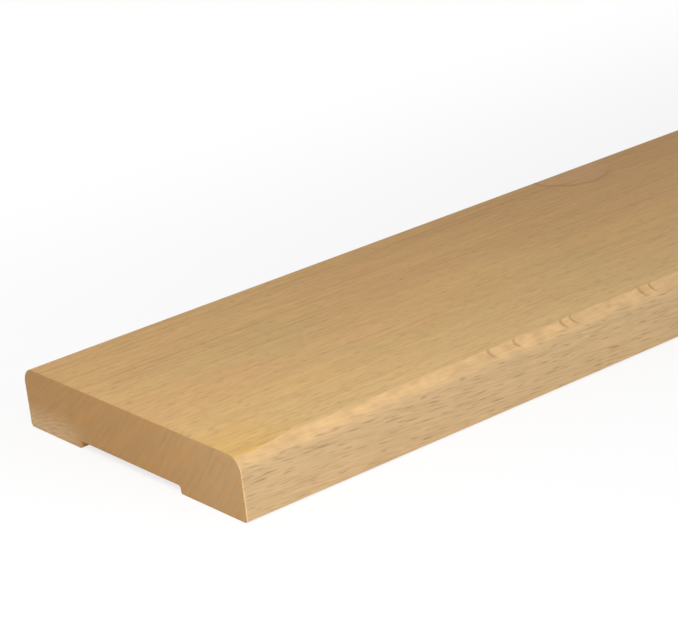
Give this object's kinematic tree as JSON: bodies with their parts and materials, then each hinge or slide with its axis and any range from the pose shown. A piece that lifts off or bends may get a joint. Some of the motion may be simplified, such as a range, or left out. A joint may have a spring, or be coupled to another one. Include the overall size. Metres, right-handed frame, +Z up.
{
  "type": "wooden door threshold",
  "caption": "Flat solid beech threshold board with rounded long top edges and a shallow relief groove underneath, to cover the floor joint under a door.",
  "frame": {"origin": "on the floor plane under the middle of the board, centred along and across it", "axes": "+X along the board towards its far end, +Y across it towards the narrower foot, +Z up out of the tread"},
  "size_m": [0.9, 0.09, 0.016],
  "materials": {
    "beech": "sanded, bare"
  },
  "bodies": {
    "root": {"threshold": "beech"}
  },
  "joints": []
}
